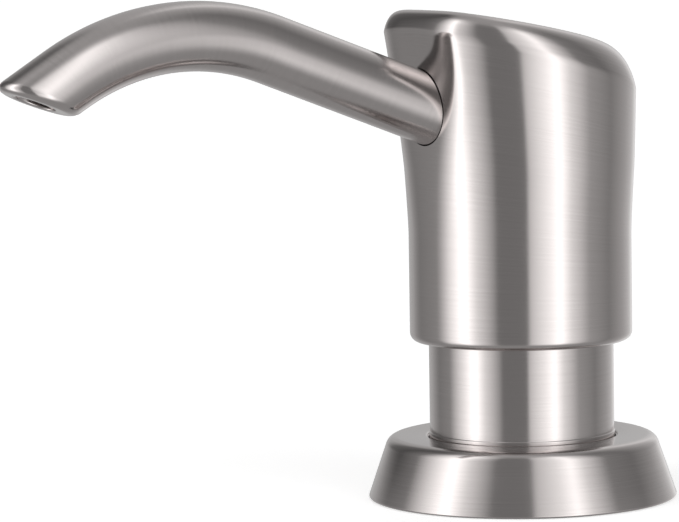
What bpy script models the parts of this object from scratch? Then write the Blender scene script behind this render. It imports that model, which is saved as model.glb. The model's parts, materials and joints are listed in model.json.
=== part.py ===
"""Deck-mounted soap pump dispenser: a head that presses and swivels, its spout, deck fittings and pump."""

import math

import bpy
from mathutils import Vector

# ---- driving dimensions, in metres; the deck's top is z = 0 and the spout points along -Y ----
GAP = 0.0003  # clearance kept between neighbouring pieces
STROKE = 0.014  # how far the head travels down
DECK_THICKNESS = 0.030  # worktop that the fittings are drawn clamped to

HEAD_RADIUS = 0.01925  # skirt of the head, below its flare
HEAD_FLARE = 0.0026  # growth of the radius from skirt to crown
HEAD_LEAN = 0.00165  # how far the crown's centre moves towards the spout
HEAD_BOTTOM_Z = 0.0273
HEAD_FLARE_Z = 0.046  # where the skirt starts to widen
HEAD_LEAN_Z = 0.057  # where the section starts to move forward
HEAD_CROWN_Z = 0.082
FLARE_POWER = 1.25
LEAN_POWER = 1.3
HEAD_EDGE_RADIUS = 0.0015
TOP_Z = 0.0809  # height of the sloping top over the axis
TOP_SLOPE = 0.2126
TOP_CROWN = 0.0006
CREASE_Z = 0.0756  # height of the shoulder's lower edge over the axis
CREASE_SLOPE = 0.323
SHOULDER_INSET = 1.05  # depth of the shoulder's rounding, as a share of its height
SHOULDER_START = math.radians(20.0)  # the rounding starts part of the way round and leaves a crease
SHOULDER_POWER = 0.8  # below 1 the rounding is fuller than an ellipse
FACE_DEPTH = 0.0198  # flattened front: distance from the axis at its lowest point
FACE_Z = 0.066
FACE_CURL = 8.2  # how quickly the flattened front curls forward, in 1/m
FACE_BLEND = 0.0014
SKIRT_BORE = 0.0173
SKIRT_ROOF_Z = 0.057
POCKET_RADIUS = 0.012
POCKET_TOP_Z = 0.072

SPOUT_ROOT = (0.0213, 0.06886)  # forward distance and height where the centreline leaves the head
SPOUT_RISE = math.radians(20.0)
SPOUT_FALL = math.radians(30.5)
SPOUT_BEND_START = 0.050  # forward distance where the bend begins
SPOUT_BEND_RADIUS = 0.0457
SPOUT_END = 0.0064  # straight stretch between the bend and the cut
SPOUT_TAIL = 0.0075  # forward distance of the tube's inner end
SPOUT_ROOT_RADIUS = 0.00595
SPOUT_TIP_RADIUS = 0.00575
SPOUT_WALL = 0.0012
TAPER_RATE = 1.5  # the tube has its tip's radius this much before its end
TIP_CENTRE = (0.0939, 0.0721)
TIP_SLOPE = math.radians(21.0)  # the cut at the tip rises outwards
NOZZLE_RECESS = 0.0005
OUTLET_RADIUS = 0.0019
LINER_RADIUS = 0.0030
BORE_RADIUS = 0.0018  # soap passage

COLLAR_RADIUS = 0.016
COLLAR_BORE = 0.014
COLLAR_BOTTOM_Z = 0.004
COLLAR_TOP_Z = 0.0395
COLLAR_CHAMFER = 0.0006

FLANGE_RADIUS = 0.0267
FLANGE_SHOULDER = 0.0238  # radius where the sloping side meets the rounded shoulder
FLANGE_SHOULDER_Z = 0.0086
FLANGE_TOP_Z = 0.0108
FLANGE_LEDGE_Z = 0.0037
FLANGE_RIM = 0.0243
FLANGE_EDGE = 0.0004
FLANGE_FOOT_Z = 0.0005  # top of the small chamfer at the flange's foot
FLANGE_WALL = 0.0016  # thickness under the top, beside the hub
FLANGE_HUB = 0.0175  # outer radius of the flange's inner wall, under its top
FLANGE_HOLLOW = 0.0215  # where the hollow under the top starts to slope down to the rim
GASKET_THICKNESS = 0.0016

SHANK_RADIUS = 0.0137
SHANK_BORE = 0.0112
SHANK_TOP_Z = 0.020
SHANK_BOTTOM_Z = -0.062
MOULDED_CHAMFER = 0.0008  # on the edges of the shank, the hose tail and the cap
CLAMP_RADIUS = 0.022
CLAMP_GASKET_THICKNESS = 0.002
CLAMP_WASHER_THICKNESS = 0.0015
NUT_HEIGHT = 0.010
NUT_RADIUS = 0.0185
NUT_LUG = 0.0025
NUT_LUGS = 6
NUT_CHAMFER = 0.0008
NUT_RIM_HEIGHT = 0.0025  # depth of the plain rim at the top, with its slope
NUT_RIM_EDGE = 0.0015
NUT_RIM_GROWTH = 0.00075  # how far the rim stands out past the lugs

CYLINDER_RADIUS = 0.008
CYLINDER_BORE = 0.0063
CYLINDER_RIM = 0.0134
CYLINDER_RIM_Z = 0.0228
CYLINDER_RIM_THICKNESS = 0.002
CYLINDER_FLOOR_Z = -0.040
BARB_RADIUS = 0.0035
BARB_BOTTOM_Z = -0.072
BARB_PITCH = 0.0035
BARBS = 3
BARB_PROUD = 0.0005  # how far a barb stands out, and below it the neck's cut
BARB_CUT = 0.0003
BARB_HEIGHT = 0.0020
VALVE_RADIUS = 0.0062  # outside of the housing round the inlet ball
HOUSING_SLOPE = 0.001  # height of the cones between the cylinder's outer steps
CAP_RADIUS = 0.0136
CAP_TOP_Z = 0.037
CAP_WELL = 0.0069  # bore that holds the stem's seal and bushing
CAP_THROAT = 0.0042
CAP_SEAT_Z = 0.030
CAP_LAND = 0.002  # height of the throat under the seat
STEM_SEAL_RADIUS = 0.0066
STEM_SEAL_HEIGHT = 0.0020  # top of the seal over its seat
STEM_SEAL_LIP = (0.0050, 0.0044, 0.0006)  # radii of the lip's groove at its top and bottom, and its depth
BUSHING_EDGE = 0.0004

STEM_RADIUS = 0.0036
STEM_TOP_Z = 0.0577
STEM_BOTTOM_Z = -0.003
PISTON_TOP_Z = 0.002
PISTON_BOTTOM_Z = -0.011
PISTON_BODY = 0.0056
PISTON_GROOVE = 0.0045  # radius at the bottom of the seal's groove
PISTON_GROOVE_BOTTOM_Z = -0.0082
PISTON_GROOVE_TOP_Z = -0.0045
PISTON_INLET = 0.0013
SEAL_RADIUS = 0.0060
SEAL_LIP_HEIGHT = 0.0012  # height of each of the piston seal's two lips, with the groove's gap
OUTLET_BALL = 0.0022
INLET_BALL = 0.0030
OUTLET_CHAMBER = OUTLET_BALL + 0.0004
OUTLET_SEAT_TOP_Z = PISTON_BOTTOM_Z + 0.0024
INLET_CHAMBER = INLET_BALL + 0.0009
INLET_SEAT_TOP_Z = CYLINDER_FLOOR_Z - 0.0075
CAGE_BASE = 0.0024  # thickness of the inlet cage's disc, on which the spring stands
CAGE_HEIGHT = 0.005
CAGE_BORE = 0.0016
CAGE_NECK = (0.0032, 0.0028)  # radius of the cage's neck at its foot and at its tip
SPRING_RADIUS = 0.0046
SPRING_WIRE = 0.0005  # radius of the wire
SPRING_TURNS = 6

PRESSED_CLEARANCE = 0.0016  # left between the cap and the core when the head is fully down
CORE_BOSS_Z = CAP_TOP_Z + STROKE + PRESSED_CLEARANCE
CORE_BOSS_RADIUS = 0.0068
CORE_BOTTOM_Z = 0.0547
CORE_SCREW_X = 0.0093
CORE_SCREW_SHANK = 0.0014
CORE_SCREW_HEAD = 0.0024
CORE_SCREW_HEAD_HEIGHT = 0.0016
CORE_SCREW_RECESS = 0.0010  # depth of the driver's recess
CORE_SCREW_TOP_Z = 0.0752
CORE_SCREW_POINT = 0.0007
CORE_SCREW_HOLE_TOP_Z = 0.0755
SET_SCREW_RADIUS = 0.0015
SET_SCREW_FORWARD = 0.0142
SET_SCREW_BOTTOM_Z = 0.0565
SET_SCREW_TOP_Z = 0.0596
SET_SCREW_HOLE_TOP_Z = 0.061
SET_SCREW_SOCKET = 0.0007
SET_SCREW_SOCKET_DEPTH = 0.0012
SET_SCREW_POINT = 0.0006
SET_SCREW_PASS = 0.0023  # radius of the way through the core, for the key
STEM_SOCKET_TOP_Z = 0.058
RISER_TOP_Z = 0.0625
CHANNEL_RADIUS = 0.0016
CHANNEL_SPAN = (-0.001, 0.012)  # forward distances that the channel to the spout runs between
O_RING_SEAT = 0.0056
O_RING_SEAT_DEPTH = 0.002
O_RING_WIRE = 0.0007  # radius of the O-ring's section
O_RING_RISE = 0.0009  # height of the O-ring's middle over the bottom of the core
GUIDE_BOTTOM_Z = HEAD_BOTTOM_Z + 0.002
GUIDE_TOP_Z = 0.0375
CUTTER_START_Z = 0.050  # inside the hollow skirt, below all that the upright cutters cut
CUTTER_LAP = 0.002  # how far a cutter starts outside what it cuts
CUTTER_REACH = 0.030  # forward distance that the spout's cutters run to

METAL_SIDES = 48  # facets round the visible turned pieces
INNER_SIDES = 24

# ---- looks: colour, roughness, metallic ----
NICKEL = ((0.62, 0.60, 0.58), 0.28, 1.0)
STEEL = ((0.55, 0.55, 0.56), 0.22, 1.0)
DARK_STEEL = ((0.40, 0.40, 0.42), 0.35, 1.0)
WHITE_PLASTIC = ((0.83, 0.83, 0.80), 0.45, 0.0)
BLACK_PLASTIC = ((0.05, 0.05, 0.055), 0.50, 0.0)
GREY_PLASTIC = ((0.42, 0.43, 0.44), 0.45, 0.0)
RUBBER = ((0.035, 0.035, 0.035), 0.75, 0.0)
CLEAR_TUBE = ((0.75, 0.78, 0.78), 0.30, 0.0)


def clear_scene():
    for obj in list(bpy.data.objects):
        bpy.data.objects.remove(obj, do_unlink=True)


def make_material(name, colour, roughness, metallic):
    material = bpy.data.materials.new(name)
    material.use_nodes = True
    shader = material.node_tree.nodes["Principled BSDF"]
    shader.inputs["Base Color"].default_value = (*colour, 1.0)
    shader.inputs["Roughness"].default_value = roughness
    shader.inputs["Metallic"].default_value = metallic
    material.diffuse_color = (*colour, 1.0)
    return material


def add_object(name, vertices, faces, look):
    """An object in world coordinates with its own material; look is (colour, roughness, metallic)."""
    mesh = bpy.data.meshes.new(name)
    mesh.from_pydata([tuple(v) for v in vertices], [], faces)
    mesh.validate()
    obj = bpy.data.objects.new(name, mesh)
    bpy.context.scene.collection.objects.link(obj)
    mesh.materials.append(make_material(name, *look))
    mesh.shade_smooth()
    mesh.set_sharp_from_angle(angle=math.radians(35))
    return obj


def set_origin(obj, point):
    """Moves the object's origin to a world point and leaves its shape where it is."""
    shift = Vector(point)
    for vertex in obj.data.vertices:
        vertex.co -= shift
    obj.location = shift


def cut(obj, cutter):
    """Subtracts a cutter, which stays in the file as a hidden guide."""
    cutter.hide_render = True
    cutter.display_type = "WIRE"
    modifier = obj.modifiers.new(cutter.name, "BOOLEAN")
    modifier.operation = "DIFFERENCE"
    modifier.solver = "EXACT"
    modifier.object = cutter


# ---- shapes ----
def arc(centre, radius, start_deg, end_deg, steps):
    """Points (r, z) on an arc, both ends included."""
    points = []
    for i in range(steps + 1):
        angle = math.radians(start_deg + (end_deg - start_deg) * i / steps)
        points.append((centre[0] + radius * math.cos(angle), centre[1] + radius * math.sin(angle)))
    return points


def turned(name, outline, look, sides=INNER_SIDES, centre=(0.0, 0.0)):
    """A turned ring: outline is a closed loop of (r, z), anticlockwise, clear of the axis."""
    vertices = []
    for r, z in outline:
        for k in range(sides):
            angle = 2 * math.pi * k / sides
            vertices.append((centre[0] + r * math.cos(angle), centre[1] + r * math.sin(angle), z))
    faces = []
    rows = len(outline)
    for i in range(rows):
        low = i * sides
        high = ((i + 1) % rows) * sides
        for k in range(sides):
            after = (k + 1) % sides
            faces.append((low + k, low + after, high + after, high + k))
    return add_object(name, vertices, faces, look)


def ring(name, inner, outer, bottom, top, look, sides=INNER_SIDES):
    return turned(name, [(inner, bottom), (outer, bottom), (outer, top), (inner, top)], look, sides)


def turned_solid(name, outline, look, sides=INNER_SIDES, centre=(0.0, 0.0), phase=0.0):
    """A turned solid: outline runs from its lowest point on the axis to its highest, as (r, z)."""
    vertices = [(centre[0], centre[1], outline[0][1])]
    for r, z in outline[1:-1]:
        for k in range(sides):
            angle = phase + 2 * math.pi * k / sides
            vertices.append((centre[0] + r * math.cos(angle), centre[1] + r * math.sin(angle), z))
    vertices.append((centre[0], centre[1], outline[-1][1]))
    last = len(vertices) - 1
    rows = len(outline) - 2
    faces = []
    for k in range(sides):
        after = (k + 1) % sides
        faces.append((0, 1 + after, 1 + k))
        for i in range(rows - 1):
            low = 1 + i * sides
            high = low + sides
            faces.append((low + k, low + after, high + after, high + k))
        top = 1 + (rows - 1) * sides
        faces.append((top + k, top + after, last))
    return add_object(name, vertices, faces, look)


def ball(name, radius, height, look):
    outline = [(radius * math.sin(a), height - radius * math.cos(a)) for a in
               (math.pi * i / 6 for i in range(7))]
    return turned_solid(name, outline, look, 12)


def swept(name, path, radii, look, sides=24, inner=None, cut_end=None):
    """A round bar or tube along points in the plane x = 0; cut_end is a plane that trims its far end."""
    frames = []
    for i, point in enumerate(path):
        before = path[max(i - 1, 0)]
        after = path[min(i + 1, len(path) - 1)]
        frames.append((Vector(point), (Vector(after) - Vector(before)).normalized()))
    loops = [loop_rings(frames, radii, sides, cut_end)]
    if inner:
        loops.append(loop_rings(frames, inner, sides, cut_end))
    vertices = [v for rings in loops for one in rings for v in one]
    count = len(path) * sides
    faces = []
    for i in range(len(path) - 1):
        for k in range(sides):
            after = (k + 1) % sides
            low, high = i * sides, (i + 1) * sides
            faces.append((low + k, low + after, high + after, high + k))
            if inner:
                faces.append((count + low + k, count + high + k, count + high + after, count + low + after))
    end = (len(path) - 1) * sides
    if inner:
        for k in range(sides):
            after = (k + 1) % sides
            faces.append((k, count + k, count + after, after))
            faces.append((end + k, end + after, count + end + after, count + end + k))
    else:
        faces.append(tuple(reversed(range(sides))))
        faces.append(tuple(end + k for k in range(sides)))
    return add_object(name, vertices, faces, look)


def loop_rings(frames, radii, sides, cut_end):
    side = Vector((1, 0, 0))
    rings = []
    for i, (centre, along) in enumerate(frames):
        up = along.cross(side)
        one = []
        for k in range(sides):
            angle = 2 * math.pi * k / sides
            point = centre + radii[i] * (math.cos(angle) * side + math.sin(angle) * up)
            if cut_end and i == len(frames) - 1:
                on_plane, normal = cut_end
                point += along * ((on_plane - point).dot(normal) / along.dot(normal))
            one.append(point)
        rings.append(one)
    return rings


# ---- head ----
def section(z):
    """Radius and forward shift of the head's round section at a height."""
    widen = max(0.0, (z - HEAD_FLARE_Z) / (HEAD_CROWN_Z - HEAD_FLARE_Z))
    lean = max(0.0, (z - HEAD_LEAN_Z) / (HEAD_CROWN_Z - HEAD_LEAN_Z))
    return HEAD_RADIUS + HEAD_FLARE * widen ** FLARE_POWER, HEAD_LEAN * lean ** LEAN_POWER


def soft_min(a, b, blend):
    share = min(1.0, max(0.0, 0.5 + 0.5 * (b - a) / blend))
    return b + (a - b) * share - blend * share * (1 - share)


def side_point(angle, z):
    """Sideways and forward place of the head's side; angle 0 faces the spout."""
    radius, shift = section(z)
    forward = shift + radius * math.cos(angle)
    face = FACE_DEPTH + FACE_CURL * max(0.0, z - FACE_Z) ** 2
    return radius * math.sin(angle), soft_min(forward, face, FACE_BLEND)


def shoulder_curve(share):
    """Inward and upward travel along the shoulder's rounding, each from 0 at the crease to 1 at the top."""
    angle = SHOULDER_START + (math.pi / 2 - SHOULDER_START) * share
    start_in = math.cos(SHOULDER_START) ** SHOULDER_POWER
    start_up = math.sin(SHOULDER_START) ** SHOULDER_POWER
    inset = (start_in - max(0.0, math.cos(angle)) ** SHOULDER_POWER) / start_in
    return inset, (math.sin(angle) ** SHOULDER_POWER - start_up) / (1 - start_up)


def head_rings(angle):
    """One meridian of the head, from the inner edge of its bottom to the middle of its top."""
    crease = CREASE_Z + CREASE_SLOPE * HEAD_RADIUS * math.cos(angle)
    points = []
    for step in range(4):
        a = math.radians(90 * step / 3)
        z = HEAD_BOTTOM_Z + HEAD_EDGE_RADIUS * (1 - math.cos(a))
        x, forward = side_point(angle, z)
        inset = HEAD_EDGE_RADIUS * (1 - math.sin(a)) / HEAD_RADIUS
        points.append((x * (1 - inset), forward * (1 - inset), z))
    side_bottom = HEAD_BOTTOM_Z + HEAD_EDGE_RADIUS
    for share in (0.35, 0.55, 0.68, 0.79, 0.90, 1.0):
        z = side_bottom + (crease - side_bottom) * share
        x, forward = side_point(angle, z)
        points.append((x, forward, z))
    rim_x, rim_forward, rim_z = points[-1]
    shift = section(rim_z)[1]
    shoulder = TOP_Z + TOP_SLOPE * rim_forward - rim_z
    reach = math.hypot(rim_x, rim_forward - shift)
    for step in range(1, 5):
        inset, rise = shoulder_curve(step / 4)
        keep = 1 - SHOULDER_INSET * shoulder * inset / reach
        x, forward = rim_x * keep, shift + (rim_forward - shift) * keep
        top = TOP_Z + TOP_SLOPE * forward
        points.append((x, forward, rim_z + (top - rim_z) * rise))
    edge_x, edge_forward, edge_z = points[-1]
    keep = 0.5
    x, forward = edge_x * keep, shift + (edge_forward - shift) * keep
    points.append((x, forward, TOP_Z + TOP_SLOPE * forward + TOP_CROWN * (1 - keep ** 2)))
    return points


def make_head_shell():
    sides = 42
    meridians = [head_rings(2 * math.pi * k / sides) for k in range(sides)]
    rows = len(meridians[0])
    vertices = [(0.0, 0.0, HEAD_BOTTOM_Z)]
    for i in range(rows):
        for k in range(sides):
            x, forward, z = meridians[k][i]
            vertices.append((x, -forward, z))
    vertices.append((0.0, -HEAD_LEAN, TOP_Z + TOP_SLOPE * HEAD_LEAN + TOP_CROWN))
    last = len(vertices) - 1
    faces = []
    for k in range(sides):
        after = (k + 1) % sides
        faces.append((0, 1 + after, 1 + k))
        for i in range(rows - 1):
            low = 1 + i * sides
            high = low + sides
            faces.append((low + k, low + after, high + after, high + k))
        top = 1 + (rows - 1) * sides
        faces.append((top + k, top + after, last))
    head = add_object("head_shell", vertices, faces, NICKEL)
    skirt_start = HEAD_BOTTOM_Z - 0.5 * STROKE
    cut(head, turned_solid("skirt_cutter", [(0, skirt_start), (SKIRT_BORE, skirt_start),
                                            (SKIRT_BORE, SKIRT_ROOF_Z), (0, SKIRT_ROOF_Z)], NICKEL, 40))
    cut(head, turned_solid("pocket_cutter", [(0, CUTTER_START_Z), (POCKET_RADIUS, CUTTER_START_Z),
                                             (POCKET_RADIUS, POCKET_TOP_Z), (0, POCKET_TOP_Z)], NICKEL, 28))
    reach = [along_spout(SPOUT_TAIL), along_spout(CUTTER_REACH)]
    bore = SPOUT_ROOT_RADIUS + GAP
    cut(head, swept("spout_hole_cutter", reach, [bore, bore], NICKEL, 24))
    for index, x in enumerate((-CORE_SCREW_X, CORE_SCREW_X)):
        cut(head, bar(f"core_screw_hole_cutter_{index + 1}", CORE_SCREW_SHANK + GAP,
                      POCKET_TOP_Z - CUTTER_LAP, CORE_SCREW_HOLE_TOP_Z, (x, 0)))
    cut(head, bar("set_screw_hole_cutter", SET_SCREW_RADIUS + GAP, CUTTER_START_Z,
                  SET_SCREW_HOLE_TOP_Z, (0, -SET_SCREW_FORWARD)))


def bar(name, radius, bottom, top, centre=(0.0, 0.0), sides=12):
    """A plain upright bar, turned a little so that its edges miss those of the piece it cuts."""
    return turned_solid(name, [(0, bottom), (radius, bottom), (radius, top), (0, top)],
                        STEEL, sides, centre, phase=0.11)


def make_head_core():
    flange = SKIRT_BORE - GAP
    boss = CORE_BOSS_RADIUS
    plug = POCKET_RADIUS - GAP
    core = turned_solid("head_core", [
        (0, CORE_BOSS_Z), (boss, CORE_BOSS_Z), (boss, CORE_BOTTOM_Z), (flange, CORE_BOTTOM_Z),
        (flange, SKIRT_ROOF_Z - GAP), (plug, SKIRT_ROOF_Z - GAP), (plug, POCKET_TOP_Z - GAP),
        (0, POCKET_TOP_Z - GAP)], WHITE_PLASTIC, 28)
    socket_bore = SPOUT_ROOT_RADIUS + GAP
    cut(core, swept("tail_cutter", [along_spout(SPOUT_TAIL - GAP), along_spout(CUTTER_REACH)],
                    [socket_bore, socket_bore], NICKEL, 20))
    cut(core, bar("stem_socket_cutter", STEM_RADIUS + GAP, CUTTER_START_Z, STEM_SOCKET_TOP_Z, sides=18))
    cut(core, bar("o_ring_seat_cutter", O_RING_SEAT, CUTTER_START_Z, CORE_BOSS_Z + O_RING_SEAT_DEPTH,
                  sides=20))
    cut(core, bar("riser_cutter", BORE_RADIUS, STEM_SOCKET_TOP_Z - CUTTER_LAP, RISER_TOP_Z))
    channel = [along_spout(forward) for forward in CHANNEL_SPAN]
    cut(core, swept("channel_cutter", channel, [CHANNEL_RADIUS] * 2, NICKEL, 14))
    for index, x in enumerate((-CORE_SCREW_X, CORE_SCREW_X)):
        cut(core, bar(f"core_hole_cutter_{index + 1}", CORE_SCREW_SHANK + GAP, CUTTER_START_Z,
                      CORE_SCREW_HOLE_TOP_Z, (x, 0)))
    cut(core, bar("set_screw_pass_cutter", SET_SCREW_PASS, CUTTER_START_Z,
                  SKIRT_ROOF_Z, (0, -SET_SCREW_FORWARD)))


def make_core_screws():
    under = CORE_BOTTOM_Z - GAP
    bottom = under - CORE_SCREW_HEAD_HEIGHT
    head = CORE_SCREW_HEAD
    socket = head * 0.45
    recess = bottom + CORE_SCREW_RECESS
    shank = CORE_SCREW_SHANK
    outline = [(0, recess), (socket, recess), (socket, bottom), (head * 0.85, bottom),
               (head, bottom + CORE_SCREW_POINT), (head, under), (shank, under),
               (shank, CORE_SCREW_TOP_Z - CORE_SCREW_POINT), (0, CORE_SCREW_TOP_Z)]
    for side, x in (("left", -CORE_SCREW_X), ("right", CORE_SCREW_X)):
        turned_solid(f"core_screw_{side}", outline, STEEL, 12, (x, 0))


def make_set_screw():
    bottom = SET_SCREW_BOTTOM_Z
    top = SET_SCREW_TOP_Z
    radius = SET_SCREW_RADIUS
    socket = SET_SCREW_SOCKET
    floor = bottom + SET_SCREW_SOCKET_DEPTH
    outline = [(0, floor), (socket, floor), (socket, bottom), (radius, bottom),
               (radius, top - SET_SCREW_POINT), (radius * 0.5, top), (0, top)]
    turned_solid("spout_set_screw", outline, DARK_STEEL, 12, (0, -SET_SCREW_FORWARD))


# ---- spout ----
def along_spout(forward):
    """Point of the straight rising stretch of the spout's centreline."""
    height = SPOUT_ROOT[1] + (forward - SPOUT_ROOT[0]) * math.tan(SPOUT_RISE)
    return (0.0, -forward, height)


def spout_path(start, bend_steps, straight_steps):
    """Centreline from a forward distance, up the rise, round the bend and down to near the cut."""
    points = []
    for i in range(straight_steps + 1):
        points.append(along_spout(start + (SPOUT_BEND_START - start) * i / straight_steps))
    bend = along_spout(SPOUT_BEND_START)
    middle_forward = SPOUT_BEND_START + SPOUT_BEND_RADIUS * math.sin(SPOUT_RISE)
    middle_z = bend[2] - SPOUT_BEND_RADIUS * math.cos(SPOUT_RISE)
    for i in range(1, bend_steps + 1):
        angle = -SPOUT_RISE + (SPOUT_RISE + SPOUT_FALL) * i / bend_steps
        points.append((0.0, -(middle_forward + SPOUT_BEND_RADIUS * math.sin(angle)),
                       middle_z + SPOUT_BEND_RADIUS * math.cos(angle)))
    last = points[-1]
    points.append((0.0, last[1] - SPOUT_END * math.cos(SPOUT_FALL),
                   last[2] - SPOUT_END * math.sin(SPOUT_FALL)))
    return points


def tip_plane(recess=0.0):
    """A point and the outward normal of the sloping cut at the tip, set back by the recess."""
    normal = Vector((0.0, -math.sin(TIP_SLOPE), -math.cos(TIP_SLOPE)))
    return Vector((0.0, -TIP_CENTRE[0], TIP_CENTRE[1])) - normal * recess, normal


def taper(path, reduce=0.0):
    count = len(path) - 1
    narrowing = SPOUT_TIP_RADIUS - SPOUT_ROOT_RADIUS
    return [SPOUT_ROOT_RADIUS + narrowing * min(1.0, TAPER_RATE * i / count) - reduce
            for i in range(count + 1)]


def make_spout():
    path = spout_path(SPOUT_TAIL, 10, 3)
    swept("spout_tube", path, taper(path), NICKEL, 20, taper(path, SPOUT_WALL), tip_plane())


def make_liner():
    """The delivery hose inside the spout; it stops short of the nozzle."""
    path = spout_path(SPOUT_TAIL, 10, 3)[:-2]
    count = len(path)
    swept("spout_liner", path, [LINER_RADIUS] * count, CLEAR_TUBE, 10, [BORE_RADIUS] * count)


def make_nozzle():
    """The insert that closes the tube's end round the outlet, its face set back from the cut."""
    path = [Vector(point) for point in spout_path(SPOUT_TAIL, 10, 3)[-3:]]
    path[0] += (path[1] - path[0]).normalized() * GAP
    radius = SPOUT_TIP_RADIUS - SPOUT_WALL - GAP
    swept("spout_nozzle", path, [radius] * 3, NICKEL, 16, [OUTLET_RADIUS] * 3, tip_plane(NOZZLE_RECESS))


# ---- deck fittings ----
def make_collar():
    inner, outer = COLLAR_BORE, COLLAR_RADIUS
    outline = [(inner, COLLAR_BOTTOM_Z), (outer, COLLAR_BOTTOM_Z), (outer, COLLAR_TOP_Z - COLLAR_CHAMFER),
               (outer - COLLAR_CHAMFER, COLLAR_TOP_Z), (inner, COLLAR_TOP_Z)]
    turned("collar", outline, NICKEL, METAL_SIDES)


def make_flange():
    shoulder_radius = FLANGE_TOP_Z - FLANGE_SHOULDER_Z
    inner = COLLAR_RADIUS + GAP
    bore = SHANK_RADIUS + GAP
    under = GASKET_THICKNESS + GAP
    outline = [(FLANGE_RIM, 0.0), (FLANGE_RADIUS - FLANGE_EDGE, 0.0), (FLANGE_RADIUS, FLANGE_FOOT_Z)]
    outline += arc((FLANGE_SHOULDER - shoulder_radius, FLANGE_SHOULDER_Z), shoulder_radius, 15, 90, 3)
    outline += [(inner + FLANGE_EDGE, FLANGE_TOP_Z), (inner, FLANGE_TOP_Z - FLANGE_EDGE),
                (inner, FLANGE_LEDGE_Z), (bore, FLANGE_LEDGE_Z), (bore, under), (FLANGE_HUB, under),
                (FLANGE_HUB, FLANGE_TOP_Z - FLANGE_WALL), (FLANGE_HOLLOW, FLANGE_TOP_Z - 1.5 * FLANGE_WALL),
                (FLANGE_RIM, under)]
    turned("base_flange", outline, NICKEL, METAL_SIDES)


def make_gaskets():
    bore = SHANK_RADIUS + GAP
    ring("base_gasket", bore, FLANGE_RIM - GAP, 0.0, GASKET_THICKNESS, RUBBER, 36)
    top = -DECK_THICKNESS
    ring("clamp_gasket", bore, CLAMP_RADIUS, top - CLAMP_GASKET_THICKNESS, top, RUBBER, 36)
    washer_top = top - CLAMP_GASKET_THICKNESS - GAP
    ring("clamp_washer", bore, CLAMP_RADIUS, washer_top - CLAMP_WASHER_THICKNESS, washer_top, STEEL, 36)


def make_shank():
    outline = [(SHANK_BORE, SHANK_BOTTOM_Z), (SHANK_RADIUS - MOULDED_CHAMFER, SHANK_BOTTOM_Z),
               (SHANK_RADIUS, SHANK_BOTTOM_Z + MOULDED_CHAMFER), (SHANK_RADIUS, SHANK_TOP_Z),
               (SHANK_BORE, SHANK_TOP_Z)]
    turned("threaded_shank", outline, GREY_PLASTIC, 36)


def make_nut():
    """A round hand nut with gripping lugs."""
    steps = NUT_LUGS * 8
    top = -DECK_THICKNESS - CLAMP_GASKET_THICKNESS - CLAMP_WASHER_THICKNESS - 2 * GAP
    bottom = top - NUT_HEIGHT
    levels = ((bottom, NUT_CHAMFER), (bottom + NUT_CHAMFER, 0.0), (top - NUT_RIM_HEIGHT, 0.0),
              (top - NUT_RIM_EDGE, None), (top, None))
    vertices = []
    for z, inset in levels:
        for k in range(steps):
            angle = 2 * math.pi * k / steps
            lug = max(0.0, math.cos(NUT_LUGS * angle)) ** 0.5 * NUT_LUG
            if inset is None:
                radius = NUT_RADIUS + NUT_LUG + NUT_RIM_GROWTH
            else:
                radius = NUT_RADIUS + lug - inset
            vertices.append((radius * math.cos(angle), radius * math.sin(angle), z))
    bore = SHANK_RADIUS + GAP
    for z in (top, bottom):
        for k in range(steps):
            angle = 2 * math.pi * k / steps
            vertices.append((bore * math.cos(angle), bore * math.sin(angle), z))
    rows = len(levels) + 2
    faces = []
    for i in range(rows):
        low = i * steps
        high = ((i + 1) % rows) * steps
        for k in range(steps):
            after = (k + 1) % steps
            faces.append((low + k, low + after, high + after, high + k))
    nut = add_object("mounting_nut", vertices, faces, BLACK_PLASTIC)
    set_origin(nut, (0, 0, top))


# ---- pump ----
def make_cylinder():
    floor = CYLINDER_FLOOR_Z
    chamber = INLET_CHAMBER
    seat_top = INLET_SEAT_TOP_Z
    rim_top = CYLINDER_RIM_Z + CYLINDER_RIM_THICKNESS
    neck = BARB_RADIUS - BARB_CUT
    slope = HOUSING_SLOPE
    housing = seat_top - 5 * slope
    outline = [(BORE_RADIUS, BARB_BOTTOM_Z), (BARB_RADIUS - MOULDED_CHAMFER, BARB_BOTTOM_Z)]
    for step in range(BARBS):
        crest = BARB_BOTTOM_Z + BARB_PITCH * step + BARB_HEIGHT
        outline += [(BARB_RADIUS + BARB_PROUD, crest), (neck, crest + 0.1 * BARB_HEIGHT)]
    outline += [(neck, housing), (VALVE_RADIUS, housing + slope), (VALVE_RADIUS, floor - 3 * slope),
                (CYLINDER_RADIUS, floor - slope), (CYLINDER_RADIUS, CYLINDER_RIM_Z),
                (CYLINDER_RIM, CYLINDER_RIM_Z), (CYLINDER_RIM, rim_top),
                (CYLINDER_BORE, rim_top), (CYLINDER_BORE, floor), (chamber, floor),
                (chamber, seat_top), (BORE_RADIUS, seat_top - (chamber - BORE_RADIUS))]
    turned("pump_cylinder", outline, WHITE_PLASTIC, 20)


def make_inlet_cage():
    """Keeps the inlet ball in its chamber and carries the spring; the soap passes through its bore."""
    floor = CYLINDER_FLOOR_Z + GAP
    bore = CAGE_BORE
    outer = CYLINDER_BORE - GAP
    foot, tip = CAGE_NECK
    turned("inlet_cage", [(bore, floor), (outer, floor), (outer, floor + CAGE_BASE),
                          (foot, floor + CAGE_BASE), (tip, floor + CAGE_HEIGHT),
                          (bore, floor + CAGE_HEIGHT)], BLACK_PLASTIC)


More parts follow.
